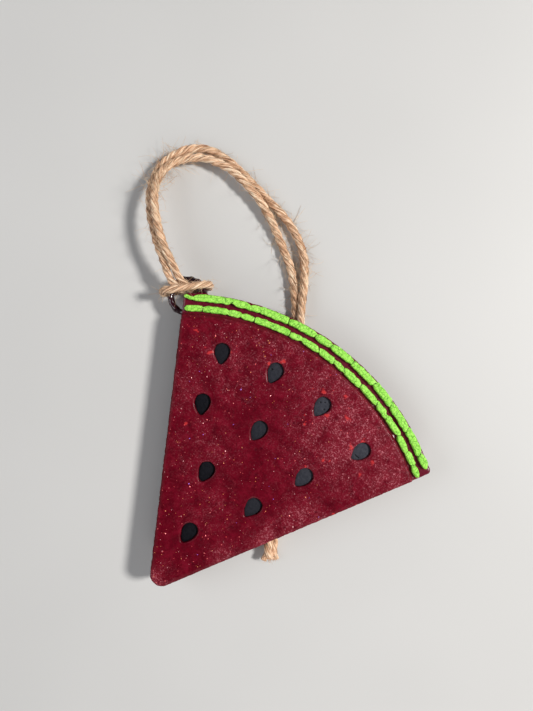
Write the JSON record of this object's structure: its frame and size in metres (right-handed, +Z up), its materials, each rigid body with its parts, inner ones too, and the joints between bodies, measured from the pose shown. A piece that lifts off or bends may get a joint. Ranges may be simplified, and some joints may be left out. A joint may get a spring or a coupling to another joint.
{
  "type": "hanging air freshener",
  "caption": "Flat casting in the shape of a watermelon slice, with sunk seeds, raised rind rows and a corner eyelet, lying on its hitched twine hanging loop.",
  "frame": {"origin": "on the surface that the part lies on, under the middle of the box of the slice with its eyelet and hitch", "axes": "+Z up, out of the slice's face; +Y along the wedge's axis from its point towards the rind; +X to the right, so that the eyelet is at the left end of the rind"},
  "size_m": [0.1221, 0.1168, 0.0122],
  "materials": {
    "cast": "fused scented plastic beads, deep crimson, slightly translucent, frosted in patches, fine glitter",
    "rind": "fused scented plastic beads, bright lime green, matte",
    "seed": "matte charcoal black inlay",
    "twine": "natural three-ply jute twine with loose hairs"
  },
  "bodies": {
    "root": {"slice_body": "cast", "rind_row_outer": "rind", "rind_row_inner": "rind", "seed_01": "seed", "seed_02": "seed", "seed_03": "seed", "seed_04": "seed", "seed_05": "seed", "seed_06": "seed", "seed_07": "seed", "seed_08": "seed", "seed_09": "seed", "seed_10": "seed", "twine_hitch": "twine", "twine_strand_outer": "twine", "twine_strand_inner": "twine"}
  },
  "joints": []
}
